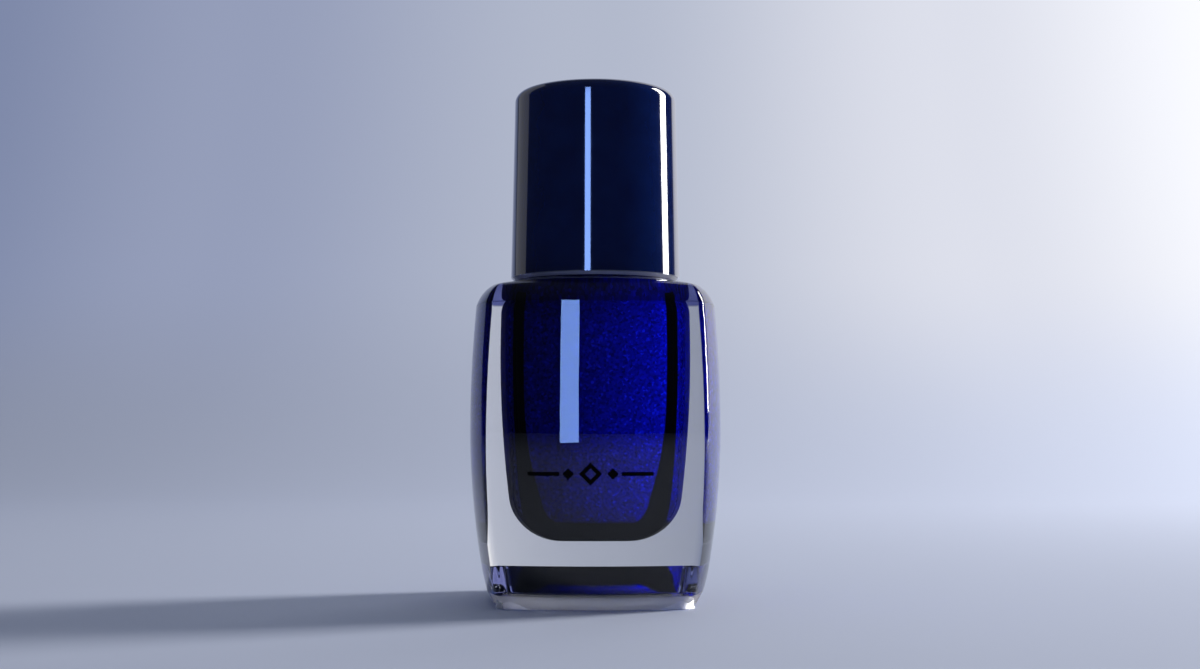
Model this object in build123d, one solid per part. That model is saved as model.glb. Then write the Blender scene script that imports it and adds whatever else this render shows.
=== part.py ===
from build123d import *

import os
from math import cos, pi, radians, sin, sqrt, tan

# Nail polish bottle: a square, heavy-walled glass bottle with a round screw cap and a brush.
# Millimetres. +Z is up, the origin is the centre of the base, and the front faces -Y.
# Each function without arguments makes one real piece, written to parts/NODE.step.

# Glass body: square in plan with bowed sides, barrel-shaped from heel to shoulder.
BELLY_Z = 23.4
BELLY_HALF = 16.9
BELLY_LOWER_RADIUS = 109.0
BELLY_UPPER_RADIUS = 171.0
SIDE_BOW_RADIUS = 40.0
CORNER_RADIUS = 1.9
HEEL_TOP_Z = 3.8
HEEL_BREAK_Z = 1.9
HEEL_BREAK_INSET = 0.45
HEEL_FOOT_INSET = 1.5
SHOULDER_START_Z = 39.3
SHOULDER_RADIUS = 4.6
SHOULDER_START_ANGLE = 15
SHOULDER_END_ANGLE = 79
SHOULDER_LAND_Z = 42.8
SHOULDER_LAND_RADIUS = 11.75
SHOULDER_SLOPE = 11.0
CROWN_RADIUS = 12.6

# Push-up under the base: upright walls at the foot, then slopes, long at front and back, to a flat roof.
PUSH_UP_HALF = 12.8
PUSH_UP_CORNER = 2.4
PUSH_UP_WALL_Z = 2.2
PUSH_UP_ROOF_Z = 5.7
PUSH_UP_ROOF_WIDE = 12.2
PUSH_UP_ROOF_DEEP = 7.9
PUSH_UP_ROOF_CORNER = 1.6

# Cavity: the same plan, smaller, with rounded edges all round its floor and ceiling.
CAVITY_FLOOR_Z = 8.9
CAVITY_CEILING_Z = 41.0
CAVITY_BELLY_Z = 33.0
CAVITY_HALF = 10.9
CAVITY_LOWER_RADIUS = 170.0
CAVITY_UPPER_RADIUS = 250.0
CAVITY_BOW_RADIUS = 60.0
CAVITY_CORNER_RADIUS = 3.2
CAVITY_FOOT_CORNER_RADIUS = 6.0
CAVITY_FOOT_Z = 14.1
CAVITY_SHAFT_Z = 26.0
CAVITY_FLOOR_FILLET = 5.2
CAVITY_CEILING_FILLET = 3.0
SMALLEST_CORNER = 0.6
ROUND_STEPS = 6
CAVITY_SPANS = 8
BODY_SPANS = 8

# Neck finish: 15-415 pattern, 12 threads to the inch.
PITCH = 25.4 / 12
NECK_RADIUS = 6.5
NECK_BORE_RADIUS = 4.3
NECK_FOOT_Z = 42.5
RIM_Z = 57.2
RIM_EDGE = 0.5
BORE_MOUTH_FLARE = 1.0
THREAD_CREST_RADIUS = 7.25
THREAD_ROOT_WIDTH = 1.24
THREAD_CREST_WIDTH = 0.5
THREAD_TURNS = 2.0
THREAD_START_Z = 51.3
SECTIONS_PER_TURN = 16
FADE_TURNS = 0.2
FADE_LEAST = 0.05
EMBED = 0.25

# Polish and its mixing balls.
POLISH_GAP = 0.12
POLISH_LEVEL_Z = 43.0
BRUSH_WELL_RADIUS = 2.2
BRUSH_WELL_Z = 12.4
BALL_RADIUS = 2.0
BALL_X = 4.5
BALL_CLEARANCE = 0.06
BALL_LIFT = 0.02
BALL_Z = CAVITY_FLOOR_Z + BALL_RADIUS + BALL_LIFT

# Liner between the rim and the wand's flange.
LINER_GAP = 0.03
LINER_THICKNESS = 0.95
LINER_RADIUS = 6.9
LINER_BORE = 2.4
LINER_Z = RIM_Z + LINER_GAP

# Inner cap: the threaded closure.
INNER_CAP_FOOT_Z = 43.7
INNER_CAP_BORE = 7.45
INNER_CAP_RADIUS = 8.7
INNER_CAP_TOP = 1.3
INNER_THREAD_CREST = 6.72
INNER_THREAD_ROOT_WIDTH = 1.1
INNER_THREAD_CREST_WIDTH = 0.45
INNER_THREAD_TURNS = 1.5
INNER_THREAD_Z = THREAD_START_Z - 0.77
FLANGE_RADIUS = 9.55
FLANGE_THICKNESS = 0.9
SPLINE_COUNT = 24
SPLINE_HEIGHT = 0.25
SPLINE_WIDTH = 0.7
SPLINE_SHORT = 1.0
SOCKET_RADIUS = 2.3
SOCKET_WALL = 1.0
SOCKET_HEIGHT = 3.6

# Wand: flange, spigot and tapered stem in one moulding.
WAND_FLANGE_RADIUS = 7.3
WAND_FLANGE = 1.0
WAND_TOP_Z = LINER_Z + LINER_THICKNESS + WAND_FLANGE
SPIGOT_SHORT = 0.4
STEM_TOP_RADIUS = 1.75
STEM_END_RADIUS = 1.5
STEM_END_Z = 27.0
STEM_HOLE_RADIUS = 1.15
STEM_HOLE_DEPTH = 4.0

# Brush tuft and the staple that holds it.
TUFT_TIP_Z = 12.6
TUFT_HALF_WIDTH = 1.85
TUFT_HALF_THICKNESS = 0.85
TUFT_ROOT_CLEAR = 0.02
TUFT_SPREAD = 4.0
TUFT_ROUND = 3.0
TUFT_TIP = 0.5
TUFT_TURN = 0.8
TUFT_NECK = 0.86
GRIP_OVAL = 0.98
STAPLE_DROP = 0.3
STAPLE_WIDTH = 2.27
STAPLE_THICKNESS = 0.35
STAPLE_HEIGHT = 1.6

# Overcap: the glossy outer cap.
CAP_FOOT_Z = 42.95
CAP_TOP_Z = 69.6
CAP_FOOT_RADIUS = 11.5
CAP_TOP_RADIUS = 11.0
CAP_TOP_FILLET = 1.4
CAP_DOME = 0.9
CAP_BORE = 9.75
CAP_FOOT_BEVEL = 0.45
CAP_ROOF = 1.6
CAP_ROOF_FILLET = 0.8
RIB_COUNT = 12
RIB_RADIUS = 8.75
RIB_WIDTH = 0.8
RIB_LENGTH = 13.0


def bowed_square(half, bow_radius, corner_radius, z):
    """Wire of four bowed sides joined by tangent corner arcs, at height z."""
    setback = bow_radius - half
    reach = bow_radius - corner_radius
    centre = (sqrt(2 * reach**2 - setback**2) - setback) / 2
    scale = bow_radius / reach
    tangent_x = -setback + (centre + setback) * scale
    tangent_y = centre * scale
    corner = centre + corner_radius * cos(pi / 4)
    side = ThreePointArc((tangent_x, -tangent_y, z), (half, 0, z), (tangent_x, tangent_y, z))
    bend = ThreePointArc((tangent_x, tangent_y, z), (corner, corner, z), (tangent_y, tangent_x, z))
    edges = []
    for quarter in range(4):
        edges += [Rot(0, 0, 90 * quarter) * side, Rot(0, 0, 90 * quarter) * bend]
    return Wire(edges)


def barrel_half(z, belly_z, belly_half, lower_radius, upper_radius):
    """Half width of a barrel side made of two vertical arcs that meet at the belly."""
    radius = lower_radius if z < belly_z else upper_radius
    return belly_half - radius + sqrt(radius**2 - (z - belly_z) ** 2)


def inset_square(half, bow_radius, corner_radius, inset, z):
    """Bowed square moved in by inset on every side."""
    corner = max(SMALLEST_CORNER, corner_radius - inset)
    return bowed_square(half - inset, bow_radius - inset, corner, z)


def barrel(low, high, spans, half_at, corner_at, setback):
    """Solid lofted through bowed squares evenly spaced from low to high."""
    wires = []
    for i in range(spans + 1):
        z = low + (high - low) * i / spans
        wires.append(bowed_square(half_at(z), setback + half_at(z), corner_at(z), z))
    return Solid.make_loft(wires)


def rounded_end(edge_z, radius, half, bow_radius, corner_radius, angles, way):
    """Stack of bowed squares that turns in along an arc; way is 1 upwards and -1 downwards."""
    first, last = radians(angles[0]), radians(angles[1])
    wires = []
    for i in range(ROUND_STEPS + 1):
        angle = first + (last - first) * i / ROUND_STEPS
        inset = radius * (cos(first) - cos(angle))
        z = edge_z + way * radius * (sin(angle) - sin(first))
        wires.append(inset_square(half, bow_radius, corner_radius, inset, z))
    return Solid.make_loft(wires[::way], True)


def outer_half(z):
    return barrel_half(z, BELLY_Z, BELLY_HALF, BELLY_LOWER_RADIUS, BELLY_UPPER_RADIUS)


def cavity_half(z):
    return barrel_half(z, CAVITY_BELLY_Z, CAVITY_HALF, CAVITY_LOWER_RADIUS, CAVITY_UPPER_RADIUS)


def cavity_corner(z):
    """Radius of the cavity's upright corners, which grows towards its floor."""
    down = min(1.0, max(0.0, (CAVITY_SHAFT_Z - z) / (CAVITY_SHAFT_Z - CAVITY_FOOT_Z)))
    return CAVITY_CORNER_RADIUS + (CAVITY_FOOT_CORNER_RADIUS - CAVITY_CORNER_RADIUS) * down**2


def disc(radius, low, high):
    """Upright cylinder between two heights."""
    return Pos(0, 0, low) * Cylinder(radius, high - low, align=(Align.CENTER, Align.CENTER, Align.MIN))


def turned(points):
    """Solid of revolution about Z from (radius, height) points."""
    return revolve(Plane.XZ * make_face(Polyline(*points, close=True)), Axis.Z)


def thread(embedded_radius, crest_radius, root_width, crest_width, start_z, turns):
    """Right-hand ridge lofted through upright trapezoids, fading into the wall at both ends."""
    count = round(turns * SECTIONS_PER_TURN)
    wires = []
    for i in range(count + 1):
        turn = i / SECTIONS_PER_TURN
        fade = min(1.0, FADE_LEAST + min(turn, turns - turn) / FADE_TURNS)
        crest = embedded_radius + (crest_radius - embedded_radius) * fade
        z = start_z + PITCH * turn
        outline = [
            (embedded_radius, z - root_width / 2),
            (crest, z - crest_width / 2),
            (crest, z + crest_width / 2),
            (embedded_radius, z + root_width / 2),
        ]
        angle = 2 * pi * turn
        points = [(r * cos(angle), r * sin(angle), h) for r, h in outline]
        wires.append(Wire.make_polygon([Vector(*p) for p in points], close=True))
    return Solid.make_loft(wires)


def cavity(gap):
    """The hollow of the body, shrunk by gap all round, and the neck's bore up through the rim."""
    low = CAVITY_FLOOR_Z + CAVITY_FLOOR_FILLET
    high = CAVITY_CEILING_Z - CAVITY_CEILING_FILLET
    setback = CAVITY_BOW_RADIUS - CAVITY_HALF

    def half_at(z):
        return cavity_half(z) - gap

    def corner_at(z):
        return cavity_corner(z) - gap

    hollow = barrel(low, high, CAVITY_SPANS, half_at, corner_at, setback)
    for z, radius, way in ((low, CAVITY_FLOOR_FILLET, -1), (high, CAVITY_CEILING_FILLET, 1)):
        half = half_at(z)
        hollow += rounded_end(z, radius - gap, half, setback + half, corner_at(z), (0, 90), way)
    mouth_radius = NECK_BORE_RADIUS - gap
    hollow += disc(mouth_radius, high, RIM_Z + 1)
    flare = BORE_MOUTH_FLARE + gap
    mouth = Cone(mouth_radius + flare, mouth_radius, flare, align=(Align.CENTER, Align.CENTER, Align.MIN))
    return hollow + Pos(0, 0, CAVITY_CEILING_Z - gap) * mouth


def push_up():
    """Recess under the base."""
    side = 2 * PUSH_UP_HALF
    foot = Pos(0, 0, -1) * RectangleRounded(side, side, PUSH_UP_CORNER)
    waist = Pos(0, 0, PUSH_UP_WALL_Z) * RectangleRounded(side, side, PUSH_UP_CORNER)
    roof = Pos(0, 0, PUSH_UP_ROOF_Z) * RectangleRounded(
        2 * PUSH_UP_ROOF_WIDE, 2 * PUSH_UP_ROOF_DEEP, PUSH_UP_ROOF_CORNER
    )
    return loft([foot, waist, roof], ruled=True)


def heel():
    """The lowest part of the body, which turns in to the foot in two steps."""
    half = outer_half(HEEL_TOP_Z)
    bow = SIDE_BOW_RADIUS - BELLY_HALF + half
    steps = ((HEEL_FOOT_INSET, 0), (HEEL_BREAK_INSET, HEEL_BREAK_Z), (0, HEEL_TOP_Z))
    wires = [bowed_square(half - inset, bow - inset, CORNER_RADIUS - inset / 2, z) for inset, z in steps]
    return Solid.make_loft(wires, True)


def shoulder():
    """The rounded turn from the sides to the shoulder, topped by a slope and a flat land for the cap."""
    half = outer_half(SHOULDER_START_Z)
    bow = SIDE_BOW_RADIUS - BELLY_HALF + half
    angles = (SHOULDER_START_ANGLE, SHOULDER_END_ANGLE)
    turn = rounded_end(SHOULDER_START_Z, SHOULDER_RADIUS, half, bow, CORNER_RADIUS, angles, 1)
    turn += disc(CROWN_RADIUS, SHOULDER_START_Z, SHOULDER_LAND_Z)
    wide = 2 * BELLY_HALF
    edge_z = SHOULDER_LAND_Z - (wide - SHOULDER_LAND_RADIUS) * tan(radians(SHOULDER_SLOPE))
    land = (SHOULDER_LAND_RADIUS, SHOULDER_LAND_Z)
    return turn & turned([(0, 0), (wide, 0), (wide, edge_z), land, (0, SHOULDER_LAND_Z)])


def glass_bottle():
    """Body, shoulder and threaded neck in one glass moulding, hollowed by the cavity."""

    def corner_at(z):
        return CORNER_RADIUS

    setback = SIDE_BOW_RADIUS - BELLY_HALF
    body = barrel(HEEL_TOP_Z, SHOULDER_START_Z, BODY_SPANS, outer_half, corner_at, setback)
    neck = fillet(disc(NECK_RADIUS, NECK_FOOT_Z, RIM_Z).edges().sort_by(Axis.Z)[-1], RIM_EDGE)
    ridge = thread(
        NECK_RADIUS - EMBED, THREAD_CREST_RADIUS, THREAD_ROOT_WIDTH, THREAD_CREST_WIDTH,
        THREAD_START_Z, THREAD_TURNS,
    )
    return (body + heel() + shoulder() + neck + ridge) - cavity(0) - push_up()


def polish():
    """Nail lacquer up to the fill level, with room round the brush and the mixing balls."""
    fill = cavity(POLISH_GAP) & disc(2 * CAVITY_HALF, 0, POLISH_LEVEL_Z)
    fill -= disc(BRUSH_WELL_RADIUS, BRUSH_WELL_Z, RIM_Z)
    for side in (-1, 1):
        fill -= Pos(side * BALL_X, 0, BALL_Z) * Sphere(BALL_RADIUS + BALL_CLEARANCE)
    return fill


def mixing_ball(side):
    """Steel agitator ball resting on the cavity floor."""
    return Pos(side * BALL_X, 0, BALL_Z) * Sphere(BALL_RADIUS)


def liner():
    """Foam sealing ring pressed between the rim and the wand's flange."""
    return disc(LINER_RADIUS, LINER_Z, LINER_Z + LINER_THICKNESS) - disc(LINER_BORE, 0, RIM_Z * 2)


def inner_cap():
    """Threaded closure with a flanged foot, outside splines and a socket for the wand."""
    roof_z = WAND_TOP_Z + INNER_CAP_TOP
    shell = disc(INNER_CAP_RADIUS, INNER_CAP_FOOT_Z, roof_z)
    shell += disc(FLANGE_RADIUS, INNER_CAP_FOOT_Z, INNER_CAP_FOOT_Z + FLANGE_THICKNESS)
    shell += disc(SOCKET_RADIUS + SOCKET_WALL, roof_z - EMBED, roof_z + SOCKET_HEIGHT)
    spline_length = roof_z - INNER_CAP_FOOT_Z - SPLINE_SHORT
    spline = Pos(INNER_CAP_RADIUS, 0, INNER_CAP_FOOT_Z) * Box(
        2 * SPLINE_HEIGHT, SPLINE_WIDTH, spline_length, align=(Align.CENTER, Align.CENTER, Align.MIN)
    )
    shell += [Rot(0, 0, 360 * i / SPLINE_COUNT) * spline for i in range(SPLINE_COUNT)]
    shell -= disc(INNER_CAP_BORE, 0, WAND_TOP_Z)
    shell -= disc(SOCKET_RADIUS, 0, roof_z + SOCKET_HEIGHT + 1)
    ridge = thread(
        INNER_CAP_BORE + EMBED, INNER_THREAD_CREST, INNER_THREAD_ROOT_WIDTH, INNER_THREAD_CREST_WIDTH,
        INNER_THREAD_Z, INNER_THREAD_TURNS,
    )
    return shell + ridge


def wand():
    """Flange, spigot and tapered stem in one moulding, with the tuft hole in its end."""
    flange_z = WAND_TOP_Z - WAND_FLANGE
    body = turned(
        [
            (0, STEM_END_Z),
            (STEM_END_RADIUS, STEM_END_Z),
            (STEM_TOP_RADIUS, flange_z),
            (WAND_FLANGE_RADIUS, flange_z),
            (WAND_FLANGE_RADIUS, WAND_TOP_Z),
            (SOCKET_RADIUS, WAND_TOP_Z),
            (SOCKET_RADIUS, WAND_TOP_Z + INNER_CAP_TOP + SOCKET_HEIGHT - SPIGOT_SHORT),
            (0, WAND_TOP_Z + INNER_CAP_TOP + SOCKET_HEIGHT - SPIGOT_SHORT),
        ]
    )
    return body - disc(STEM_HOLE_RADIUS, STEM_END_Z - 1, STEM_END_Z + STEM_HOLE_DEPTH)


def staple():
    """Flat metal anchor across the tuft, inside the end of the stem."""
    foot = STEM_END_Z + STEM_HOLE_DEPTH - STAPLE_HEIGHT - STAPLE_DROP
    return Pos(0, 0, foot) * Box(
        STAPLE_WIDTH, STAPLE_THICKNESS, STAPLE_HEIGHT, align=(Align.CENTER, Align.CENTER, Align.MIN)
    )


def bristles():
    """Tuft of filaments: round where the stem grips it, then flat and wide, with a rounded tip."""
    grip = STEM_HOLE_RADIUS - TUFT_ROOT_CLEAR
    stations = [
        (TUFT_TIP_Z, TUFT_TIP * TUFT_HALF_WIDTH, TUFT_TIP * TUFT_HALF_THICKNESS),
        (TUFT_TIP_Z + TUFT_ROUND / 3, TUFT_TURN * TUFT_HALF_WIDTH, TUFT_TURN * TUFT_HALF_THICKNESS),
        (TUFT_TIP_Z + TUFT_ROUND, TUFT_HALF_WIDTH, TUFT_HALF_THICKNESS),
        (STEM_END_Z - TUFT_SPREAD, TUFT_NECK * TUFT_HALF_WIDTH, TUFT_HALF_THICKNESS),
        (STEM_END_Z, grip, GRIP_OVAL * grip),
        (STEM_END_Z + STEM_HOLE_DEPTH - TUFT_ROOT_CLEAR, grip, GRIP_OVAL * grip),
    ]
    tuft = loft([Pos(0, 0, z) * Ellipse(across, deep) for z, across, deep in stations], ruled=True)
    return tuft - staple()


def overcap():
    """Glossy outer cap: tapered, softly domed, with inside ribs that grip the inner cap."""
    edge_z = CAP_TOP_Z - CAP_DOME
    middle = (CAP_TOP_RADIUS / 2, 0, CAP_TOP_Z - CAP_DOME / 4)
    edge = (CAP_TOP_RADIUS, 0, edge_z)
    sides = Polyline((0, 0, CAP_TOP_Z), (0, 0, CAP_FOOT_Z), (CAP_FOOT_RADIUS, 0, CAP_FOOT_Z), edge)
    dome = ThreePointArc(edge, middle, (0, 0, CAP_TOP_Z))
    shell = revolve(make_face(sides + dome), Axis.Z)
    shoulder = [e for e in shell.edges().filter_by(GeomType.CIRCLE) if abs(e.center().Z - edge_z) < 0.01]
    shell = fillet(shoulder, CAP_TOP_FILLET)
    shell = chamfer(shell.edges().group_by(Axis.Z)[0], CAP_FOOT_BEVEL)
    hollow = disc(CAP_BORE, CAP_FOOT_Z - 1, CAP_TOP_Z - CAP_ROOF)
    hollow = fillet(hollow.edges().group_by(Axis.Z)[-1], CAP_ROOF_FILLET)
    shell -= hollow
    rib_reach = CAP_BORE - RIB_RADIUS + EMBED
    rib = Pos(RIB_RADIUS, 0, CAP_TOP_Z - CAP_ROOF + EMBED - RIB_LENGTH) * Box(
        rib_reach, RIB_WIDTH, RIB_LENGTH, align=(Align.MIN, Align.CENTER, Align.MIN)
    )
    step = 360 / SPLINE_COUNT
    shell += [Rot(0, 0, step / 2 + 360 * i / RIB_COUNT) * rib for i in range(RIB_COUNT)]
    return shell


def main():
    os.makedirs("parts", exist_ok=True)
    nodes = {
        "glass_bottle": glass_bottle(),
        "polish": polish(),
        "mixing_ball_1": mixing_ball(-1),
        "mixing_ball_2": mixing_ball(1),
        "liner": liner(),
        "inner_cap": inner_cap(),
        "wand": wand(),
        "staple": staple(),
        "bristles": bristles(),
        "overcap": overcap(),
    }
    for name, solid in nodes.items():
        export_step(solid, f"parts/{name}.step")


main()
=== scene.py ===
import math
import random

import bpy
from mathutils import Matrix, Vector

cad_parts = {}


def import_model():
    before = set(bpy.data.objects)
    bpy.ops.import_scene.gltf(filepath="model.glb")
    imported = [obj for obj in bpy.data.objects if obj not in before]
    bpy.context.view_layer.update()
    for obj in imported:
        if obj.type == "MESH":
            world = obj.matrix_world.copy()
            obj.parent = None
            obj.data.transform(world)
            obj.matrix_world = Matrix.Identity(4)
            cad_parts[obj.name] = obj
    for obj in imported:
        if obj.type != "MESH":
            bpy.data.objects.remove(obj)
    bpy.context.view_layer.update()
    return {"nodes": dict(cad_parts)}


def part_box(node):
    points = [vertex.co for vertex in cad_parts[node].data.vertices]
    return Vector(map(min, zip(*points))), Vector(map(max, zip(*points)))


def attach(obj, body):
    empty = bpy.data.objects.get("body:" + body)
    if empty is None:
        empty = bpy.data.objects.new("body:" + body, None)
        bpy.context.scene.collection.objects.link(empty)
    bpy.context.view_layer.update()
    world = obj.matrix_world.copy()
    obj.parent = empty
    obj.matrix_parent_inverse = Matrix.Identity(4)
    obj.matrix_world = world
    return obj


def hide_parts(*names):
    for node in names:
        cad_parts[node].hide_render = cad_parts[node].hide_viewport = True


# A nail polish bottle round its CAD frame: smooth glass, lacquer, brush and printed mark, then the
# materials, the stage, the lights and the camera. Shapes are drawn in millimetres and made in metres,
# +Z up, with the front facing -Y. The stage, the lights, the camera and the heights and widths that a
# material looks at are in metres.

MM = 0.001
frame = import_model()


def lowest(node):
    """Height of a CAD node's lowest point, in millimetres."""
    return round(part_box(node)[0].z / MM, 3)


def highest(node):
    """Height of a CAD node's highest point, in millimetres."""
    return round(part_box(node)[1].z / MM, 3)


# Outside of the body, the same as the CAD's: a bowed square plan and barrel sides.
BELLY_Z = 23.4
BELLY_HALF = 16.9
BELLY_LOWER = 109.0
BELLY_UPPER = 171.0
SIDE_BOW = 40.0
CORNER = 1.9
HEEL_TOP = 3.8
HEEL_BREAK = 1.9
HEEL_BREAK_INSET = 0.45
HEEL_FOOT_INSET = 1.5
FOOT_EDGE = 0.15
SIDE_START = HEEL_TOP + 0.15

# Shoulder: an arc that turns in from the sides, under a slope and a flat land for the cap.
SHOULDER_START = 39.3
SIDE_END = SHOULDER_START - 0.1
SHOULDER_RADIUS = 4.6
SHOULDER_FIRST = math.radians(15)
SHOULDER_LAST = math.radians(79)
SHOULDER_SOFT = 0.09
SMALLEST_CORNER = 0.4
LAND_Z = 42.8
LAND_RADIUS = 11.75
LAND_SLOPE = math.radians(11)
LAND_SOFT = 0.3
LAND_LIFT = 0.02

# Recess under the base: upright walls at the foot, then slopes to a flat roof.
RECESS_HALF = 12.8
RECESS_CORNER = 2.4
RECESS_WALL_Z = 2.2
RECESS_ROOF_Z = 5.7
RECESS_ROOF_WIDE = 12.2
RECESS_ROOF_DEEP = 7.9
RECESS_ROOF_CORNER = 1.6
RECESS_EDGE = 0.1
RECESS_BREAK = 0.15
RECESS_LOWEST = 0.12
RECESS_ROOF_DROP = 0.02
STRAIGHT_BOW = 400.0

# Cavity: the same plan, smaller, with rounded edges round its floor and ceiling.
FLOOR_Z = 8.9
CEILING_Z = 41.0
HOLLOW_BELLY_Z = 33.0
HOLLOW_HALF = 10.9
HOLLOW_LOWER = 170.0
HOLLOW_UPPER = 250.0
HOLLOW_BOW = 60.0
HOLLOW_CORNER = 3.2
HOLLOW_FOOT_CORNER = 6.0
HOLLOW_LEAST_CORNER = 0.6
HOLLOW_FOOT_Z = 14.1
HOLLOW_SHAFT_Z = 26.0
FLOOR_FILLET = 5.2
CEILING_FILLET = 3.0

# Neck and its thread.
NECK = 6.5
NECK_FOOT = 1.2
BORE = 4.3
BORE_FLARE = 1.2
RIM_Z = highest("glass_bottle")
RIM_OUTER_ROUND = 0.5
RIM_INNER_ROUND = 0.4
PITCH = 25.4 / 12
THREAD_CREST = 7.25
THREAD_START = 51.3
THREAD_TURNS = 2.0
THREAD_FADE = 0.2
THREAD_HALF_ROOT = 0.60
THREAD_FLANK = 0.30
THREAD_MARGIN = 1.0
RIM_MARGIN = 0.8

# Lacquer: a negative gap laps over the glass, as a liquid that wets it. The hollow of the surface is
# given as radii and heights from the fill level.
FILL_LEVEL = highest("polish")
POLISH_GAP = -0.03
MENISCUS = ((3.9, -0.25), (3.3, -0.42), (2.2, -0.5), (0.5, -0.5))

# Points along each side and round each corner of a plan.
ARC_STEPS = 24
CORNER_STEPS = 12

# Printed mark on the front.
MARK_Z = 17.3
MARK_X = -0.6
INK = 0.03
RING_OUTER = 1.45
RING_INNER = 0.70
SMALL_LOZENGE = 0.72
SMALL_LOZENGE_OUT = 2.8
RULE_START = 3.9
RULE_END = 7.9
RULE_HALF = 0.25
BLUNT = 0.01

# Brush tuft.
STEM_END = lowest("wand")
TUFT_TIP_Z = lowest("bristles")
TUFT_TOP_CLEAR = 0.08
TUFT_TOP_Z = highest("bristles") - TUFT_TOP_CLEAR
TUFT_GRIP = 1.13
TUFT_GRIP_OVAL = 0.98
TUFT_WIDE = 1.77
TUFT_THICK = 0.80
TUFT_SPREAD = 8.0
TUFT_ROUND = 3.0
TUFT_FILL = 0.96
FILAMENTS = 340
FILAMENT_RADIUS = 0.05
FILAMENT_TIP = 0.45
FILAMENT_BEND = 0.09
FILAMENT_SPANS = 9
FILAMENT_SIDES = 5
TIP_CLEAR = 0.05
TIP_RAGGED = 0.7


# ---------------------------------------------------------------- numbers and outlines

def part_way(a, b, t):
    return a + (b - a) * t


def between(low, high, count):
    """Evenly spaced values from low to high, both ends included."""
    return [low + (high - low) * i / count for i in range(count + 1)]


def quarter_turn(count):
    return between(0.0, math.pi / 2, count)


def ease(t):
    """Smooth step from 0 to 1."""
    t = max(0.0, min(1.0, t))
    return t * t * (3 - 2 * t)


def soft_max(a, b, soft):
    """Larger of two numbers, rounded off where they are close."""
    return 0.5 * (a + b + math.sqrt((a - b) ** 2 + soft))


def soft_min(a, b, soft):
    return 0.5 * (a + b - math.sqrt((a - b) ** 2 + soft))


def outline(half, bow, corner):
    """Points round a bowed square with tangent corner arcs, counter-clockwise from the +X side."""
    setback = bow - half
    reach = bow - corner
    centre = (math.sqrt(2 * reach**2 - setback**2) - setback) / 2
    turn = math.atan2(centre, centre + setback)
    quarter = []
    for a in between(-turn, turn, ARC_STEPS)[:-1]:
        quarter.append((bow * math.cos(a) - setback, bow * math.sin(a)))
    for a in between(turn, math.pi / 2 - turn, CORNER_STEPS)[:-1]:
        quarter.append((centre + corner * math.cos(a), centre + corner * math.sin(a)))
    points = []
    for c, s in ((1, 0), (0, 1), (-1, 0), (0, -1)):
        points += [(x * c - y * s, x * s + y * c) for x, y in quarter]
    return points


ANGLES = [math.atan2(y, x) for x, y in outline(BELLY_HALF, SIDE_BOW, CORNER)]


def circle(radius):
    """Circle with its points at the same angles as a plan's."""
    return [(radius * math.cos(a), radius * math.sin(a)) for a in ANGLES]


def level(points, z):
    return [(x, y, z) for x, y in points]


def barrel_half(z, belly_z, half, lower, upper):
    """Half width of a barrel side made of two upright arcs that meet at the belly."""
    radius = lower if z < belly_z else upper
    return half - radius + math.sqrt(radius**2 - (z - belly_z) ** 2)


def side_size(z):
    """Half width and bow of the outer body at a height."""
    half = barrel_half(z, BELLY_Z, BELLY_HALF, BELLY_LOWER, BELLY_UPPER)
    return half, SIDE_BOW - (BELLY_HALF - half)


# ---------------------------------------------------------------- mesh helpers

def mesh_object(name, verts, faces, smooth=True, unit=MM):
    """Object from points, in millimetres unless another unit is given."""
    mesh = bpy.data.meshes.new(name)
    mesh.from_pydata([(x * unit, y * unit, z * unit) for x, y, z in verts], [], faces)
    mesh.update()
    obj = bpy.data.objects.new(name, mesh)
    bpy.context.scene.collection.objects.link(obj)
    mesh.polygons.foreach_set("use_smooth", [smooth] * len(mesh.polygons))
    return obj


def skin(name, rings):
    """Closed surface through rings of equal length, with a pole in the first and in the last."""
    count = len(rings[0])
    verts = [p for ring in rings for p in ring]
    faces = []
    for r in range(len(rings) - 1):
        low = r * count
        high = low + count
        for k in range(count):
            n = (k + 1) % count
            faces.append((low + k, low + n, high + n, high + k))
    last = (len(rings) - 1) * count
    verts.append(middle_of(rings[0]))
    pole = len(verts) - 1
    faces += [(pole, (k + 1) % count, k) for k in range(count)]
    verts.append(middle_of(rings[-1]))
    pole = len(verts) - 1
    faces += [(pole, last + k, last + (k + 1) % count) for k in range(count)]
    return mesh_object(name, verts, faces)


def middle_of(ring):
    return tuple(sum(p[i] for p in ring) / len(ring) for i in range(3))


# ---------------------------------------------------------------- glass

def recess_ring(wide, deep, corner, z):
    """Rounded rectangle with as many points as every other ring."""
    short = min(wide, deep)
    reach = short - corner
    ring = []
    for x, y in outline(short, STRAIGHT_BOW, corner):
        across = (wide - short) * max(-1.0, min(1.0, x / reach))
        along = (deep - short) * max(-1.0, min(1.0, y / reach))
        ring.append((x + across, y + along, z))
    return ring


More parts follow.
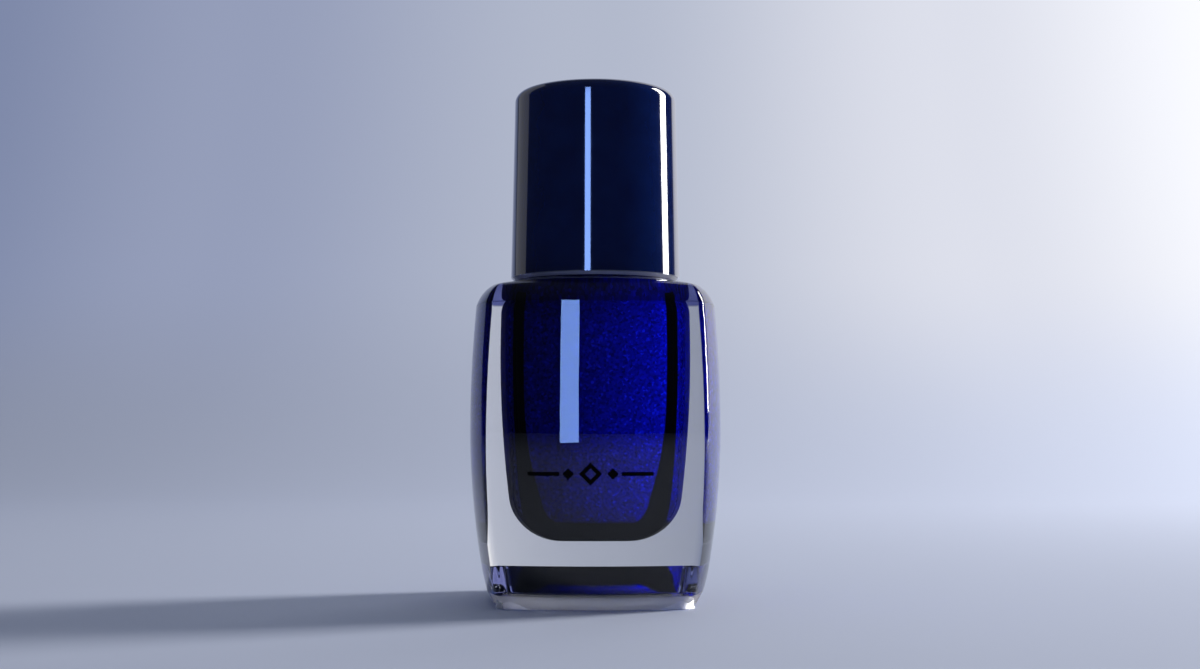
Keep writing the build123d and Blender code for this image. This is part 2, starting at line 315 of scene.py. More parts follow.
def recess_rings():
    """Recess under the base, from the middle of its roof out and down to the foot."""
    roof = recess_ring(RECESS_ROOF_WIDE, RECESS_ROOF_DEEP, RECESS_ROOF_CORNER, RECESS_ROOF_Z)
    rings = [[(x * t, y * t, z) for x, y, z in roof] for t in (0.03, 0.35, 0.7, 0.97)]
    rings.append([(x, y, z - RECESS_ROOF_DROP) for x, y, z in roof])
    for t in (0.05, 0.35, 0.65, 0.95):
        wide = part_way(RECESS_ROOF_WIDE, RECESS_HALF - RECESS_EDGE, t)
        deep = part_way(RECESS_ROOF_DEEP, RECESS_HALF - RECESS_EDGE, t)
        corner = part_way(RECESS_ROOF_CORNER, RECESS_CORNER, t)
        rings.append(recess_ring(wide, deep, corner, part_way(RECESS_ROOF_Z, RECESS_WALL_Z, t)))
    for z in (RECESS_WALL_Z - RECESS_BREAK, RECESS_WALL_Z / 2, RECESS_LOWEST):
        rings.append(recess_ring(RECESS_HALF, RECESS_HALF, RECESS_CORNER, z))
    foot = RECESS_HALF + RECESS_EDGE
    rings.append(recess_ring(foot, foot, RECESS_CORNER, 0.0))
    return rings


def heel_rings():
    """Heel: the foot's edge, then two flanks with softened breaks."""
    half, bow = side_size(HEEL_TOP)

    def ring(inset, z):
        return level(outline(half - inset, bow - inset, CORNER - inset / 2), z)

    flanks = (
        ((HEEL_FOOT_INSET, 0.0), (HEEL_BREAK_INSET, HEEL_BREAK), (0.06, 0.5, 0.92)),
        ((HEEL_BREAK_INSET, HEEL_BREAK), (0.0, HEEL_TOP), (0.08, 0.5, 0.92)),
    )
    rings = [ring(HEEL_FOOT_INSET + FOOT_EDGE, 0.0)]
    for (inset, z), (next_inset, next_z), stations in flanks:
        rings += [ring(part_way(inset, next_inset, t), part_way(z, next_z, t)) for t in stations]
    return rings


def side_rings():
    rings = []
    for z in between(SIDE_START, SIDE_END, 44):
        half, bow = side_size(z)
        rings.append(level(outline(half, bow, CORNER), z))
    return rings


def shoulder_z(x, y):
    """Height of the shoulder's top: a flat land under the cap, then a slope down to the corners."""
    past_land = soft_max(math.hypot(x, y) - LAND_RADIUS, 0.0, LAND_SOFT)
    return LAND_Z - (past_land - LAND_LIFT) * math.tan(LAND_SLOPE)


def shoulder_rings():
    """Arc from the sides to the shoulder's top."""
    half, bow = side_size(SHOULDER_START)
    rings = []
    for a in between(SHOULDER_FIRST, SHOULDER_LAST, 14):
        inset = SHOULDER_RADIUS * (math.cos(SHOULDER_FIRST) - math.cos(a))
        z = SHOULDER_START + SHOULDER_RADIUS * (math.sin(a) - math.sin(SHOULDER_FIRST))
        plan = outline(half - inset, bow - inset, max(SMALLEST_CORNER, CORNER - inset))
        rings.append([(x, y, soft_min(z, shoulder_z(x, y), SHOULDER_SOFT)) for x, y in plan])
    return rings


def land_rings(edge):
    """Shoulder's top, from the arc's last ring in to the foot of the neck."""
    foot = circle(NECK + NECK_FOOT)
    rings = []
    for t in between(0.0, 1.0, 10)[1:]:
        ring = []
        for (x, y, z), (foot_x, foot_y) in zip(edge, foot):
            px = part_way(x, foot_x, t)
            py = part_way(y, foot_y, t)
            ring.append((px, py, part_way(z, shoulder_z(px, py), min(1.0, 3 * t))))
        rings.append(ring)
    return rings


def ridge(angle, z):
    """How far the neck's thread stands out at this angle and height."""
    turn = (angle / (2 * math.pi)) % 1.0
    highest_ridge = 0.0
    for whole in range(int(THREAD_TURNS) + 1):
        t = turn + whole
        if t > THREAD_TURNS:
            continue
        fade = min(1.0, min(t, THREAD_TURNS - t) / THREAD_FADE)
        off = abs(z - THREAD_START - PITCH * t)
        flank = ease((THREAD_HALF_ROOT - off) / THREAD_FLANK)
        highest_ridge = max(highest_ridge, (THREAD_CREST - NECK) * fade * flank)
    return highest_ridge


def neck_rings():
    """Neck outside: its rounded foot, a plain stretch, the thread and the rim's outer edge."""
    rings = []
    base_z = shoulder_z(NECK + NECK_FOOT, 0)
    for a in quarter_turn(8)[1:]:
        radius = NECK + NECK_FOOT * (1 - math.sin(a))
        rings.append(level(circle(radius), base_z + NECK_FOOT * (1 - math.cos(a))))
    thread_foot = THREAD_START - THREAD_MARGIN
    for z in between(base_z + NECK_FOOT, thread_foot, 8)[1:]:
        rings.append(level(circle(NECK), z))
    for z in between(thread_foot, RIM_Z - RIM_MARGIN, 64)[1:]:
        ring = []
        for a in ANGLES:
            radius = NECK + ridge(a, z)
            ring.append((radius * math.cos(a), radius * math.sin(a), z))
        rings.append(ring)
    for a in quarter_turn(6):
        radius = NECK - RIM_OUTER_ROUND * (1 - math.cos(a))
        rings.append(level(circle(radius), RIM_Z - RIM_OUTER_ROUND * (1 - math.sin(a))))
    return rings


def bore_rings():
    """Bore of the neck, from the rim's inner edge down to where it flares into the ceiling."""
    rings = []
    for a in quarter_turn(6):
        radius = BORE + RIM_INNER_ROUND * (1 - math.sin(a))
        rings.append(level(circle(radius), RIM_Z - RIM_INNER_ROUND * (1 - math.cos(a))))
    flare_z = CEILING_Z + BORE_FLARE
    for z in between(RIM_Z - RIM_INNER_ROUND, flare_z, 12)[1:]:
        rings.append(level(circle(BORE), z))
    for a in quarter_turn(8)[1:]:
        rings.append(flare_ring(BORE, a))
    return rings


def flare_ring(bore, a):
    """Ring of the flare from bore to ceiling: 0 is at the bore, a quarter turn at the ceiling."""
    radius = bore + BORE_FLARE * (1 - math.cos(a))
    return level(circle(radius), CEILING_Z + BORE_FLARE * (1 - math.sin(a)))


def hollow_corner(z):
    """Radius of the cavity's upright corners, which grows towards its floor."""
    down = max(0.0, min(1.0, (HOLLOW_SHAFT_Z - z) / (HOLLOW_SHAFT_Z - HOLLOW_FOOT_Z)))
    return part_way(HOLLOW_CORNER, HOLLOW_FOOT_CORNER, down * down)


def hollow_rings(gap):
    """Rings up the cavity, shrunk by gap, from the middle of its floor to the edge of its ceiling."""
    low = FLOOR_Z + gap
    high = CEILING_Z - gap
    floor_round = FLOOR_FILLET - gap
    ceiling_round = CEILING_FILLET - gap

    def ring(z, inset):
        half = barrel_half(z, HOLLOW_BELLY_Z, HOLLOW_HALF, HOLLOW_LOWER, HOLLOW_UPPER) - gap - inset
        corner = max(HOLLOW_LEAST_CORNER, hollow_corner(z) - gap - inset)
        return level(outline(half, HOLLOW_BOW - (HOLLOW_HALF - half), corner), z)

    edge = ring(low, floor_round)
    rings = [[(x * t, y * t, z) for x, y, z in edge] for t in (0.03, 0.25, 0.5, 0.75)]
    for a in quarter_turn(12):
        rings.append(ring(low + floor_round * (1 - math.cos(a)), floor_round * (1 - math.sin(a))))
    for z in between(low + floor_round, high - ceiling_round, 24)[1:-1]:
        rings.append(ring(z, 0))
    for a in quarter_turn(10):
        rings.append(ring(high - ceiling_round * (1 - math.sin(a)), ceiling_round * (1 - math.cos(a))))
    return rings


def glass_body():
    """The whole bottle in one skin: recess, outside, neck, bore and cavity."""
    rings = recess_rings() + heel_rings() + side_rings() + shoulder_rings()
    rings += land_rings(rings[-1]) + neck_rings() + bore_rings()
    rings += reversed(hollow_rings(0.0))
    obj = skin("bottle_glass", rings)
    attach(obj, "bottle")
    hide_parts("glass_bottle")
    return obj


# ---------------------------------------------------------------- lacquer

def polish_fill():
    """Lacquer that fills the cavity and the foot of the neck, with a hollow surface."""
    rings = hollow_rings(POLISH_GAP)
    bore = BORE - POLISH_GAP
    for a in reversed(quarter_turn(8)[:-1]):
        rings.append(flare_ring(bore, a))
    for z in between(CEILING_Z + BORE_FLARE, FILL_LEVEL, 3)[1:]:
        rings.append(level(circle(bore), z))
    for radius, lift in MENISCUS:
        rings.append(level(circle(radius), FILL_LEVEL + lift))
    obj = skin("lacquer_fill", rings)
    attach(obj, "bottle")
    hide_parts("polish")
    return obj


# ---------------------------------------------------------------- printed mark

def front_y(x, z):
    """How far forward the glass front stands at this place."""
    half, bow = side_size(z)
    return math.sqrt(bow**2 - x**2) - (bow - half)


def ink_strip(verts, faces, lower, upper, closed=False):
    """Thin raised patch of ink between two outlines of equal length on the glass front."""
    count = len(lower)
    first = len(verts)
    under = 2 * count
    for lift in (INK, -INK):
        for x, z in lower + upper:
            verts.append((x, -front_y(x, z) - lift, z))
    for i in range(count if closed else count - 1):
        a = first + i
        b = first + (i + 1) % count
        c = b + count
        d = a + count
        faces.append((a, b, c, d))
        faces.append((d + under, c + under, b + under, a + under))
        faces.append((b, a, a + under, b + under))
        faces.append((d, c, c + under, d + under))
    if closed:
        return
    a = first
    faces.append((a, a + count, a + count + under, a + under))
    a = first + count - 1
    faces.append((a + under, a + count + under, a + count, a))


def lozenge(size, steps=4):
    """Points round the middle lozenge, starting on the left."""
    corners = [(-size, 0), (0, -size), (size, 0), (0, size)]
    points = []
    for (x, z), (next_x, next_z) in zip(corners, corners[1:] + corners[:1]):
        for t in between(0.0, 1.0, steps)[:-1]:
            points.append((MARK_X + part_way(x, next_x, t), MARK_Z + part_way(z, next_z, t)))
    return points


def printed_mark():
    """Plain ornament: an open lozenge between two small filled ones, with a rule on each side."""
    verts, faces = [], []
    ink_strip(verts, faces, lozenge(RING_OUTER), lozenge(RING_INNER), closed=True)
    for side in (-1, 1):
        middle = MARK_X + side * SMALL_LOZENGE_OUT
        across = between(middle - SMALL_LOZENGE, middle + SMALL_LOZENGE, 8)
        tall = [SMALL_LOZENGE - abs(x - middle) + BLUNT for x in across]
        low = [(x, MARK_Z - h) for x, h in zip(across, tall)]
        high = [(x, MARK_Z + h) for x, h in zip(across, tall)]
        ink_strip(verts, faces, low, high)
        start, end = sorted((MARK_X + side * RULE_START, MARK_X + side * RULE_END))
        across = between(start, end, 16)
        low = [(x, MARK_Z - RULE_HALF) for x in across]
        high = [(x, MARK_Z + RULE_HALF) for x in across]
        ink_strip(verts, faces, low, high)
    obj = mesh_object("printed_mark", verts, faces, smooth=False)
    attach(obj, "bottle")
    return obj


# ---------------------------------------------------------------- brush

def tuft_size(z):
    """Half width and half thickness of the tuft at a height: round in the stem, flat and wide below."""
    if z >= STEM_END:
        return TUFT_GRIP, TUFT_GRIP * TUFT_GRIP_OVAL
    down = ease((STEM_END - z) / TUFT_SPREAD)
    return part_way(TUFT_GRIP, TUFT_WIDE, down), part_way(TUFT_GRIP, TUFT_THICK, down)


def add_filament(verts, faces, u, v, tip, bend):
    """One filament from the stem's hole down to its tip; u and v place it across the tuft."""
    sides = FILAMENT_SIDES
    first = len(verts)
    for j in range(FILAMENT_SPANS + 1):
        t = j / FILAMENT_SPANS
        z = part_way(TUFT_TOP_Z, tip, t)
        wide, thick = tuft_size(z)
        x = u * wide + bend * math.sin(math.pi * t)
        y = v * thick
        radius = FILAMENT_RADIUS * (FILAMENT_TIP if j == FILAMENT_SPANS else 1.0)
        for k in range(sides):
            a = 2 * math.pi * k / sides
            verts.append((x + radius * math.cos(a), y + radius * math.sin(a), z))
    for j in range(FILAMENT_SPANS):
        for k in range(sides):
            a = first + j * sides + k
            b = first + j * sides + (k + 1) % sides
            faces.append((a, b, b + sides, a + sides))
    last = first + FILAMENT_SPANS * sides
    faces.append(tuple(first + k for k in reversed(range(sides))))
    faces.append(tuple(last + k for k in range(sides)))


def brush_tuft():
    """Several hundred filaments that spread from the stem, cut to a ragged, rounded tip."""
    rng = random.Random(7)
    golden_angle = math.pi * (3 - math.sqrt(5))
    verts, faces = [], []
    for i in range(FILAMENTS):
        out = TUFT_FILL * math.sqrt((i + 0.5) / FILAMENTS)
        u = out * math.cos(i * golden_angle)
        v = out * math.sin(i * golden_angle)
        ragged = rng.uniform(0, TIP_RAGGED) ** 2
        tip = TUFT_TIP_Z + TIP_CLEAR + TUFT_ROUND * (0.75 * u * u + 0.25 * v * v) + ragged
        bend = rng.uniform(-FILAMENT_BEND, FILAMENT_BEND)
        add_filament(verts, faces, u, v, tip, bend)
    obj = mesh_object("brush_filaments", verts, faces)
    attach(obj, "cap")
    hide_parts("bristles")
    return obj


# ---------------------------------------------------------------- node trees

class NodeTree:
    """Node tree of a material or world, with a short way to add each kind of node used here."""

    def __init__(self, owner, shader):
        owner.use_nodes = True
        self.owner = owner
        self.nodes = owner.node_tree.nodes
        self.links = owner.node_tree.links
        self.shader = self.nodes[shader]

    def put(self, value, socket):
        """Feeds an output, a plain number or a plain colour to a socket."""
        if isinstance(value, bpy.types.NodeSocket):
            self.links.new(value, socket)
        elif isinstance(value, tuple) and socket.type == "RGBA":
            socket.default_value = (*value, 1)
        else:
            socket.default_value = value

    def set(self, values):
        """Sets the shader's own sockets by name."""
        for name, value in values.items():
            self.put(value, self.shader.inputs[name])

    def coordinates(self, kind):
        return self.nodes.new("ShaderNodeTexCoord").outputs[kind]

    def split(self, vector):
        """The three parts of a vector."""
        node = self.nodes.new("ShaderNodeSeparateXYZ")
        self.put(vector, node.inputs["Vector"])
        return node.outputs["X"], node.outputs["Y"], node.outputs["Z"]

    def join(self, x, y):
        """Level vector from its X and Y."""
        node = self.nodes.new("ShaderNodeCombineXYZ")
        self.put(x, node.inputs["X"])
        self.put(y, node.inputs["Y"])
        return node.outputs["Vector"]

    def noise(self, scale, detail, stretch=(1.0, 1.0, 1.0)):
        """Noise in the object's own space, drawn out along an axis whose stretch is below 1."""
        mapping = self.nodes.new("ShaderNodeMapping")
        self.put(stretch, mapping.inputs["Scale"])
        self.put(self.coordinates("Object"), mapping.inputs["Vector"])
        node = self.nodes.new("ShaderNodeTexNoise")
        self.put(scale, node.inputs["Scale"])
        self.put(detail, node.inputs["Detail"])
        self.put(mapping.outputs["Vector"], node.inputs["Vector"])
        return node.outputs["Fac"]

    def cells(self, scale):
        """Voronoi cells in the object's own space: each cell's own colour, and distance from its middle."""
        node = self.nodes.new("ShaderNodeTexVoronoi")
        self.put(scale, node.inputs["Scale"])
        self.put(self.coordinates("Object"), node.inputs["Vector"])
        return node.outputs["Color"], node.outputs["Distance"]

    def fit(self, value, start, end, low=0.0, high=1.0, smooth=False):
        """Takes start..end to low..high and holds it there outside."""
        node = self.nodes.new("ShaderNodeMapRange")
        if smooth:
            node.interpolation_type = "SMOOTHSTEP"
        self.put(value, node.inputs["Value"])
        self.put(start, node.inputs["From Min"])
        self.put(end, node.inputs["From Max"])
        self.put(low, node.inputs["To Min"])
        self.put(high, node.inputs["To Max"])
        return node.outputs["Result"]

    def ramp(self, value, stops, interpolation="LINEAR"):
        """Colour ramp through (place, colour) stops, given in order."""
        node = self.nodes.new("ShaderNodeValToRGB")
        node.color_ramp.interpolation = interpolation
        elements = node.color_ramp.elements
        elements.remove(elements[1])
        for i, (place, colour) in enumerate(stops):
            stop = elements.new(place) if i else elements[0]
            stop.position = place
            stop.color = (*colour, 1)
        self.put(value, node.inputs["Fac"])
        return node.outputs["Color"]

    def mix(self, factor, first, second):
        """Mix of two colours."""
        node = self.nodes.new("ShaderNodeMix")
        node.data_type = "RGBA"
        self.put(factor, node.inputs["Factor"])
        self.put(first, node.inputs["A"])
        self.put(second, node.inputs["B"])
        return node.outputs["Result"]

    def math(self, operation, *numbers):
        node = self.nodes.new("ShaderNodeMath")
        node.operation = operation
        for number, socket in zip(numbers, node.inputs):
            self.put(number, socket)
        return node.outputs[0]

    def vector_math(self, operation, vector, scale=None):
        node = self.nodes.new("ShaderNodeVectorMath")
        node.operation = operation
        self.put(vector, node.inputs[0])
        if scale is not None:
            self.put(scale, node.inputs["Scale"])
        return node.outputs["Vector"]

    def bump(self, height, strength, distance):
        """Bump from a height, fed to the shader."""
        node = self.nodes.new("ShaderNodeBump")
        self.put(strength, node.inputs["Strength"])
        self.put(distance, node.inputs["Distance"])
        self.put(height, node.inputs["Height"])
        self.put(node.outputs["Normal"], self.shader.inputs["Normal"])


def new_material(name):
    return NodeTree(bpy.data.materials.new(name), "Principled BSDF")


def give(obj, mat):
    obj.data.materials.clear()
    obj.data.materials.append(mat)


# ---------------------------------------------------------------- materials

BLACK = (0.0, 0.0, 0.0)


def glass_material():
    """Clear moulded glass: matt round the foot, with painted shade, a dark blue tint, on the shoulder,
    faintly wavy from the mould.
    """
    clear = (0.86, 0.85, 0.83)
    # Painted shade: a dark blue tint in the glass from about 39 to 44 mm up darkens the shoulder.
    shoulder_painted_shade = (0.032, 0.038, 0.200)
    painted_shade_low, painted_shade_high = 0.038, 0.046
    tree = new_material("clear_glass")
    height = tree.split(tree.coordinates("Object"))[2]
    tree.set({
        "Base Color": tree.ramp(
            tree.fit(height, painted_shade_low, painted_shade_high),
            [(0.125, clear), (0.155, shoulder_painted_shade), (0.66, shoulder_painted_shade), (0.78, clear)],
        ),
        "Roughness": tree.fit(height, 0.0016, 0.0019, 0.60, 0.0),
        "IOR": 1.5,
        "Transmission Weight": 1.0,
    })
    tree.bump(tree.noise(110.0, 1.0), 0.05, 0.0001)
    return tree.owner


def lacquer_painted_shade(tree):
    """Painted shade: 1 at the upright corners and round the floor's edge, 0 elsewhere, from the surface's own
    direction.
    """
    x, y, z = tree.split(tree.coordinates("Normal"))
    heading = tree.vector_math("NORMALIZE", tree.join(x, y))
    size_x, size_y, _ = tree.split(tree.vector_math("ABSOLUTE", heading))
    square_on = tree.math("MAXIMUM", size_x, size_y)
    not_ceiling = tree.fit(z, 0.5, 0.75, 1.0, 0.0)
    corner = tree.math("MULTIPLY", tree.fit(square_on, 0.86, 0.97, 1.15, 0.0), not_ceiling)
    floor = tree.math("POWER", tree.fit(z, -0.64, -0.05, 1.0, 0.0), 2.0)
    return tree.fit(tree.math("MULTIPLY_ADD", corner, corner, floor), 0.78, 1.0)


def lacquer_material():
    """Shimmering blue, with painted light that makes it brighter towards +X and along the -X flank, and
    painted shade, near black, round the upright corners and the floor's edge.
    """
    tree = new_material("lacquer")
    flake, _ = tree.cells(3500)
    shimmer = tree.ramp(flake, [
        (0.0, (0.0, 0.0004, 0.07)),
        (0.75, (0.001, 0.003, 0.30)),
        (1.0, (0.004, 0.012, 0.62)),
    ])
    # Painted light: the lacquer is brighter towards +X, as if lit from the right, and a painted bright strip
    # runs along the -X flank.
    across = tree.split(tree.coordinates("Object"))[0]
    painted_light_across = tree.fit(across, -0.0045, 0.0065, 0.50, 2.3)
    painted_left_strip = tree.fit(across, -0.0104, -0.0098, 1.4, 0.0)
    painted_light = tree.math("MAXIMUM", painted_light_across, painted_left_strip)
    blue = tree.vector_math("SCALE", shimmer, painted_light)
    tree.set({
        # Painted shade: the lacquer turns near black round the upright corners and the floor's edge.
        "Base Color": tree.mix(lacquer_painted_shade(tree), blue, (0.0, 0.0002, 0.002)),
        "Metallic": 0.95,
        "Roughness": 0.45,
        "Specular IOR Level": 0.0,
        "Specular Tint": BLACK,
    })
    tree.bump(flake, 0.35, 0.00005)
    return tree.owner


def cap_material():
    """High-gloss navy coating over plastic, slightly uneven, with a painted reflection, pale, on the bevel
    round the foot.
    """
    bevel_height = 0.00055
    bevel_fade = 0.0002
    bevel_top = lowest("overcap") * MM + bevel_height
    tree = new_material("cap_gloss")
    pigment = tree.noise(260.0, 3.0)
    navy = tree.ramp(pigment, [(0.3, (0.0012, 0.008, 0.070)), (0.7, (0.0018, 0.012, 0.090))])
    height = tree.split(tree.coordinates("Object"))[2]
    # Painted reflection: the bevel round the foot is painted pale, as the pale floor would look mirrored in
    # it.
    painted_foot_reflection = tree.fit(height, bevel_top - bevel_fade, bevel_top, 1.0, 0.0)
    tree.set({
        "Base Color": tree.mix(painted_foot_reflection, navy, (0.60, 0.62, 0.68)),
        "Roughness": tree.fit(pigment, 0.3, 0.7, 0.05, 0.08),
        "Coat Weight": 0.7,
        "Coat Roughness": 0.02,
    })
    tree.bump(tree.noise(900.0, 1.0), 0.02, 0.00002)
    return tree.owner


def moulded_material(name, dark, light, rough, grain, specular=0.5):
    """Moulded plastic or dried ink: fine grain in colour, roughness and bump."""
    tree = new_material(name)
    speckle = tree.noise(grain, 4.0)
    tree.set({
        "Base Color": tree.ramp(speckle, [(0.35, dark), (0.65, light)]),
        "Roughness": tree.fit(speckle, 0.3, 0.7, rough - 0.06, rough + 0.08),
        "Specular IOR Level": specular,
    })
    tree.bump(speckle, 0.15, 0.00004)
    return tree.owner


def wetted_material(name, dry, dry_rough, wet_top, scale, along=1.0):
    """Plastic that is dry above a height and coated with lacquer below it, with an uneven edge."""
    uneven = 0.004
    fade = 0.0015
    wet_rough = 0.16
    tree = new_material(name)
    streaks = tree.noise(scale, 3.0, (1.0, 1.0, along))
    height = tree.split(tree.coordinates("Object"))[2]
    wet = tree.fit(tree.math("MULTIPLY_ADD", streaks, uneven, height), wet_top, wet_top + fade, 1.0, 0.0)
    coat = tree.ramp(streaks, [(0.35, (0.0005, 0.001, 0.04)), (0.65, (0.003, 0.010, 0.26))])
    tree.set({
        "Base Color": tree.mix(wet, dry, coat),
        "Roughness": tree.fit(wet, 0.0, 1.0, dry_rough, wet_rough),
    })
    tree.bump(streaks, 0.12, 0.00005)
    return tree.owner


def foam_material():
    """White closed-cell foam."""
    tree = new_material("liner_foam")
    _, distance = tree.cells(3000)
    tree.set({
        "Base Color": tree.ramp(distance, [(0.0, (0.66, 0.66, 0.63)), (0.6, (0.85, 0.85, 0.82))]),
        "Roughness": 0.75,
        "Subsurface Weight": 0.1,
        "Subsurface Scale": 0.0005,
    })
    tree.bump(distance, 0.4, 0.00008)
    return tree.owner


def metal_material(name, dark, light, rough, scratch):
    """Bare metal with fine scratches."""
    tree = new_material(name)
    marks = tree.noise(scratch, 6.0)
    tree.set({
        "Base Color": tree.ramp(marks, [(0.3, dark), (0.7, light)]),
        "Roughness": tree.fit(marks, 0.3, 0.7, rough * 0.6, rough * 1.6),
        "Metallic": 1.0,
    })
    tree.bump(marks, 0.06, 0.00002)
    return tree.owner


def dress_own_pieces(glass, lacquer, mark, tuft):
    """Materials for the pieces that are made here."""
    give(glass, glass_material())
    give(lacquer, lacquer_material())
    ink = moulded_material(
        "mark_ink", dark=(0.0005, 0.0005, 0.001), light=(0.002, 0.002, 0.003),
        rough=0.6, grain=2500.0, specular=0.05,
    )
    give(mark, ink)
    nylon = wetted_material(
        "bristle_nylon", dry=(0.014, 0.014, 0.016), dry_rough=0.45, wet_top=0.024, scale=3000.0, along=0.03,
    )
    give(tuft, nylon)


def dress_cad_nodes(nodes):
    """Materials for the CAD nodes that stay."""
    closure = moulded_material(
        "closure_plastic", dark=(0.009, 0.009, 0.011), light=(0.017, 0.017, 0.019), rough=0.40, grain=900.0,
    )
    stem = wetted_material(
        "wand_plastic", dry=(0.012, 0.012, 0.014), dry_rough=0.38, wet_top=0.040, scale=500.0,
    )
    brass = metal_material(
        "staple_brass", dark=(0.60, 0.40, 0.15), light=(0.78, 0.56, 0.25), rough=0.25, scratch=900.0,
    )
    steel = metal_material(
        "ball_steel", dark=(0.62, 0.62, 0.64), light=(0.80, 0.80, 0.82), rough=0.12, scratch=700.0,
    )
    give(nodes["overcap"], cap_material())
    give(nodes["inner_cap"], closure)
    give(nodes["wand"], stem)
    give(nodes["liner"], foam_material())
    give(nodes["staple"], brass)
    give(nodes["mixing_ball_1"], steel)
    give(nodes["mixing_ball_2"], steel)


# ---------------------------------------------------------------- stage

STAGE_HALF = 1.0
STAGE_Z = -0.00002
STAGE_FRONT = -0.4
WALL_Y = 0.55
WALL_TOP = 1.1
WALL_SPAN = 0.62
SWEEP = 0.28


def sweep_material():
    """Pale floor with painted shade that makes it a little darker in front, and a backdrop with painted light
    that glows blue-grey on -X to white on +X.
    """
    near_floor = (0.58, 0.62, 0.74)
    front_floor_painted_shade = (0.47, 0.50, 0.60)
    wall = (0.02, 0.02, 0.03)
    tree = new_material("backdrop")
    x, y, z = tree.split(tree.coordinates("Object"))
    # Painted light: the backdrop glows dark at both ends, blue-grey on -X and white on +X, as if lit from the
    # right.
    glow = tree.ramp(tree.fit(x, -WALL_SPAN, WALL_SPAN), [
        (0.00, (0.01, 0.012, 0.02)),
        (0.14, (0.01, 0.012, 0.02)),
        (0.24, (0.19, 0.23, 0.37)),
        (0.36, (0.29, 0.33, 0.47)),
        (0.50, (0.43, 0.47, 0.58)),
        (0.64, (0.70, 0.72, 0.80)),
        (0.76, (0.95, 0.96, 1.00)),
        (0.84, (0.95, 0.96, 1.00)),
        (0.90, (0.02, 0.02, 0.03)),
        (1.00, (0.01, 0.01, 0.02)),
    ], interpolation="EASE")
    rise = tree.fit(z, 0.0, 0.10, smooth=True)
    # Painted shade: the floor turns a little darker in front.
    ahead = tree.fit(y, -0.45, -0.20, 1.0, 0.0)
    floor = tree.mix(ahead, near_floor, front_floor_painted_shade)
    tree.set({
        "Base Color": tree.mix(rise, floor, wall),
        "Roughness": 0.7,
        "Specular IOR Level": 0.1,
        "Emission Color": tree.vector_math("SCALE", glow, rise),
        "Emission Strength": 1.0,
    })
    return tree.owner


def sweep_floor():
    """Floor that curves up into the backdrop, a hair below the bottle's foot."""
    bend_y = WALL_Y - SWEEP
    profile = [(y, STAGE_Z) for y in [-STAGE_HALF] + between(STAGE_FRONT, bend_y, 12)]
    for a in quarter_turn(24)[1:]:
        profile.append((bend_y + SWEEP * math.sin(a), STAGE_Z + SWEEP * (1 - math.cos(a))))
    profile.append((WALL_Y, WALL_TOP))
    verts = [(x, y, z) for y, z in profile for x in (-STAGE_HALF, STAGE_HALF)]
    faces = [(2 * i, 2 * i + 1, 2 * i + 3, 2 * i + 2) for i in range(len(profile) - 1)]
    obj = mesh_object("studio_sweep", verts, faces, unit=1.0)
    give(obj, sweep_material())
    return obj


def world():
    """Dim blue sky; the camera itself sees a paler one, so that other views have no dark horizon."""
    tree = NodeTree(bpy.data.worlds.new("studio"), "Background")
    bpy.context.scene.world = tree.owner
    height = tree.fit(tree.split(tree.coordinates("Generated"))[2], -0.2, 1.0)
    dim = tree.ramp(height, [(0.0, (0.010, 0.012, 0.02)), (1.0, (0.05, 0.06, 0.09))])
    pale = tree.ramp(height, [(0.16, (0.10, 0.11, 0.15)), (0.40, (0.36, 0.39, 0.47))])
    seen = tree.nodes.new("ShaderNodeLightPath").outputs["Is Camera Ray"]
    tree.set({"Color": tree.mix(seen, dim, pale), "Strength": 1.0})


# ---------------------------------------------------------------- lights and camera

BOTTLE_MIDDLE = (0, 0, 0.035)
CAMERA_PLACE = (0, -0.213, 0.0228)
CAMERA_PITCH = math.radians(90 + 3.49)
CAMERA_YAW = math.radians(-0.17)
CAMERA_LENS = 46.95
CAMERA_SENSOR = 36


def area_light(name, place, target, size, power, color):
    data = bpy.data.lights.new(name, "AREA")
    data.shape = "RECTANGLE"
    data.size, data.size_y = size
    data.energy = power
    data.color = color
    obj = bpy.data.objects.new(name, data)
    obj.location = place
    obj.rotation_euler = (Vector(target) - Vector(place)).to_track_quat("-Z", "Y").to_euler()
    obj.visible_camera = False
    bpy.context.scene.collection.objects.link(obj)
    return obj


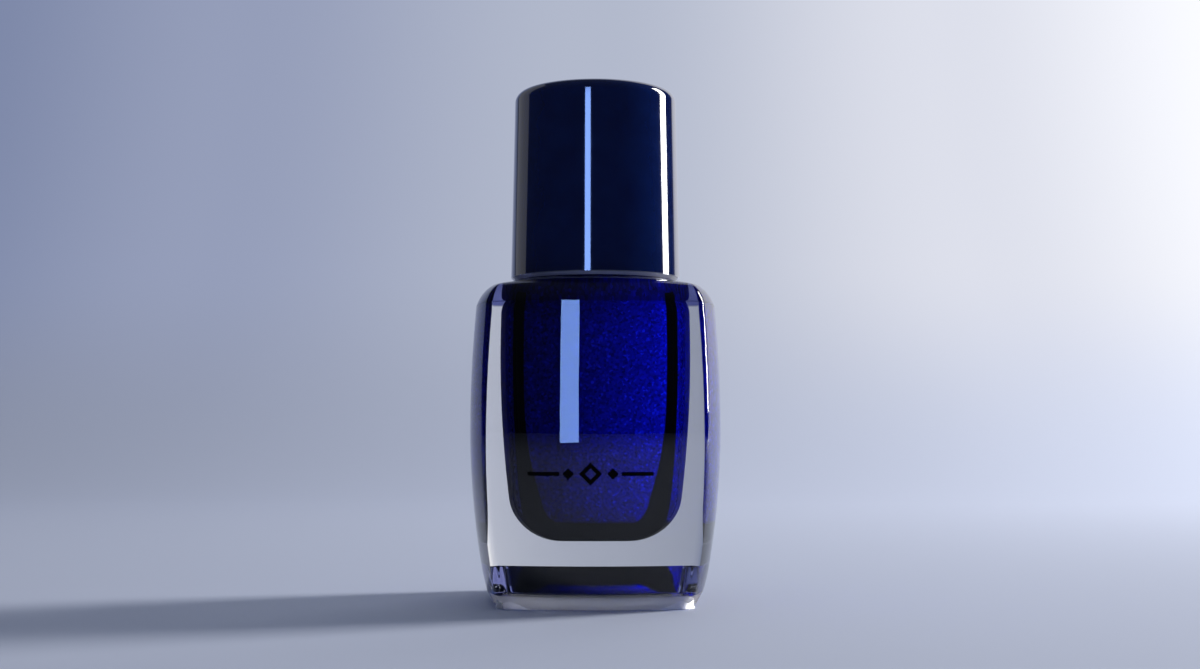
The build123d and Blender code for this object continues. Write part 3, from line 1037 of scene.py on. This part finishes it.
def only_on(light, *receivers):
    """Limits a light to a few objects."""
    group = bpy.data.collections.new(light.name + "_receivers")
    for obj in receivers:
        group.objects.link(obj)
    light.light_linking.receiver_collection = group


def lights(glass, lacquer, overcap):
    """Soft light from above and a key from the right, with a strip, a fill and a card for the bottle only."""
    overhead = area_light("overhead", (0, 0, 1.2), (0, 0, 0), (1.2, 1.0), 3.0, (0.80, 0.88, 1.0))
    overhead.visible_glossy = False

    key = area_light("key_right", (0.66, 0.26, 0.30), BOTTLE_MIDDLE, (0.17, 0.55), 7.0, (1.0, 0.99, 0.98))
    key.visible_transmission = False

    strip_z = 0.092
    strip = area_light(
        "strip_front", (-0.082, -0.45, strip_z), (0, 0, strip_z), (0.060, 0.186), 0.56, (0.23, 0.40, 1.0),
    )
    strip.visible_transmission = False
    strip.visible_diffuse = False
    only_on(strip, glass, overcap)

    fill = area_light("fill_right", (0.31, -0.27, 0.27), BOTTLE_MIDDLE, (0.5, 0.5), 1.6, (0.06, 0.20, 1.0))
    fill.visible_glossy = False
    only_on(fill, glass, lacquer)

    card = area_light("card_left", (-0.49, 0.34, 0.25), BOTTLE_MIDDLE, (0.36, 0.8), 0.26, (0.90, 0.93, 1.0))
    card.visible_diffuse = False
    only_on(card, overcap)


def camera():
    """Camera level with the middle of the body, looking slightly up."""
    data = bpy.data.cameras.new("camera")
    data.sensor_width = CAMERA_SENSOR
    data.lens = CAMERA_LENS
    data.clip_start = 0.01
    obj = bpy.data.objects.new("camera", data)
    obj.location = CAMERA_PLACE
    obj.rotation_euler = (CAMERA_PITCH, 0, CAMERA_YAW)
    bpy.context.scene.collection.objects.link(obj)
    bpy.context.scene.camera = obj
    bpy.context.scene.view_settings.view_transform = "Standard"


def main():
    glass = glass_body()
    lacquer = polish_fill()
    dress_own_pieces(glass, lacquer, printed_mark(), brush_tuft())
    dress_cad_nodes(frame["nodes"])
    sweep_floor()
    world()
    lights(glass, lacquer, frame["nodes"]["overcap"])
    camera()


main()
